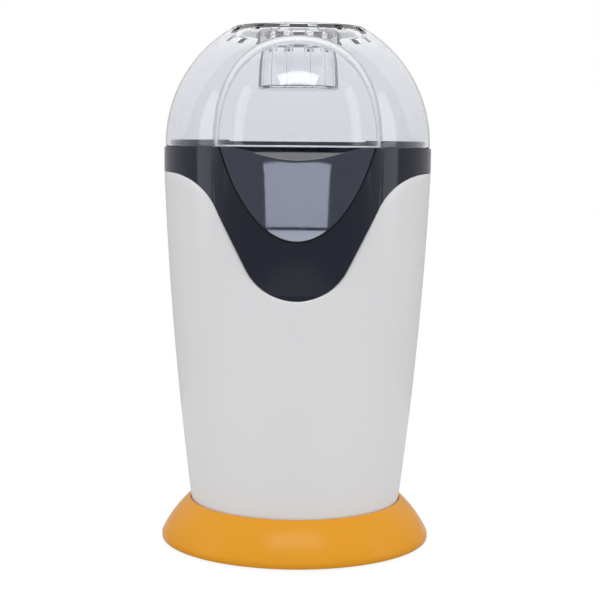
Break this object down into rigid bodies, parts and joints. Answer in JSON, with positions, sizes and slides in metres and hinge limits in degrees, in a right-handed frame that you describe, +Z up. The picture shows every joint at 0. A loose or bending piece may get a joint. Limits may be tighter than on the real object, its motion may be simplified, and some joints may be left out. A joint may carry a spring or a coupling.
{
  "type": "popcorn maker",
  "caption": "Tapered hot-air popcorn maker: flared base, smooth housing, dark spout collar, and a clear lift-off dome with hood and measuring cup.",
  "frame": {"origin": "middle of the standing face, on the upright axis of the round housing", "axes": "+Z up; the outlet spout and hood face -Y, the switch and cord gland face +Y; +X to the right seen from the front"},
  "size_m": [0.1614, 0.1937, 0.3067],
  "materials": {
    "base_yellow": "gloss",
    "housing_white": "satin gloss",
    "collar_black": "gloss",
    "clear_plastic": "clear",
    "foot_rubber": "matt",
    "plate_grey": "matt",
    "fan_plastic": "matt",
    "switch_plastic": "gloss",
    "gland_plastic": "matt",
    "screw_steel": "zinc plated",
    "chamber_aluminium": "spun",
    "sleeve_steel": "brushed",
    "mica": "matt",
    "heating_wire": "oxidised",
    "thermostat_metal": "satin",
    "insulator_resin": "matt",
    "motor_steel": "zinc plated",
    "magnet_ferrite": "matt",
    "bush_bronze": "oiled",
    "board_resin": "matt",
    "diode_black": "matt"
  },
  "bodies": {
    "housing": {"base_ring": "base_yellow", "base_plate": "plate_grey", "foot_ring": "foot_rubber", "base_screws": "screw_steel", "post_screws": "screw_steel", "main_housing": "housing_white", "collar": "collar_black", "collar_screws": "screw_steel", "popping_chamber": "chamber_aluminium", "insulating_ring": "insulator_resin", "chamber_screws": "screw_steel", "heater_sleeve": "sleeve_steel", "heater_board_x": "mica", "heater_board_y": "mica", "heater_coil": "heating_wire", "thermostat": "thermostat_metal", "thermal_fuse": "thermostat_metal", "fan_housing": "fan_plastic", "motor_can": "motor_steel", "motor_magnets": "magnet_ferrite", "motor_end_cap": "fan_plastic", "front_bush": "bush_bronze", "rear_bush": "bush_bronze", "motor_screws": "screw_steel", "rectifier_board": "board_resin", "rectifier_diodes": "diode_black", "switch_body": "switch_plastic", "cord_gland": "gland_plastic"},
    "dome": {"dome_cover": "clear_plastic"},
    "cup": {"measuring_cup": "clear_plastic"},
    "fan": {"fan_impeller": "fan_plastic", "motor_shaft": "motor_steel", "rotor": "motor_steel"},
    "rocker": {"switch_rocker": "switch_plastic"}
  },
  "joints": [
    {"name": "dome_lift", "type": "slide", "parent": "housing", "child": "dome", "axis": [0, 0, 1], "range_m": [0, 0.08]},
    {"name": "cup_lift", "type": "slide", "parent": "dome", "child": "cup", "axis": [0, 0, 1], "range_m": [0, 0.045]},
    {"name": "fan_spin", "type": "hinge", "parent": "housing", "child": "fan", "pos_m": [0, 0, 0.08], "axis": [0, 0, 1], "continuous": true},
    {"name": "switch_tip", "type": "hinge", "parent": "housing", "child": "rocker", "pos_m": [0, 0.0678, 0.05891], "axis": [1, 0, 0], "range_deg": [0, 20]}
  ]
}
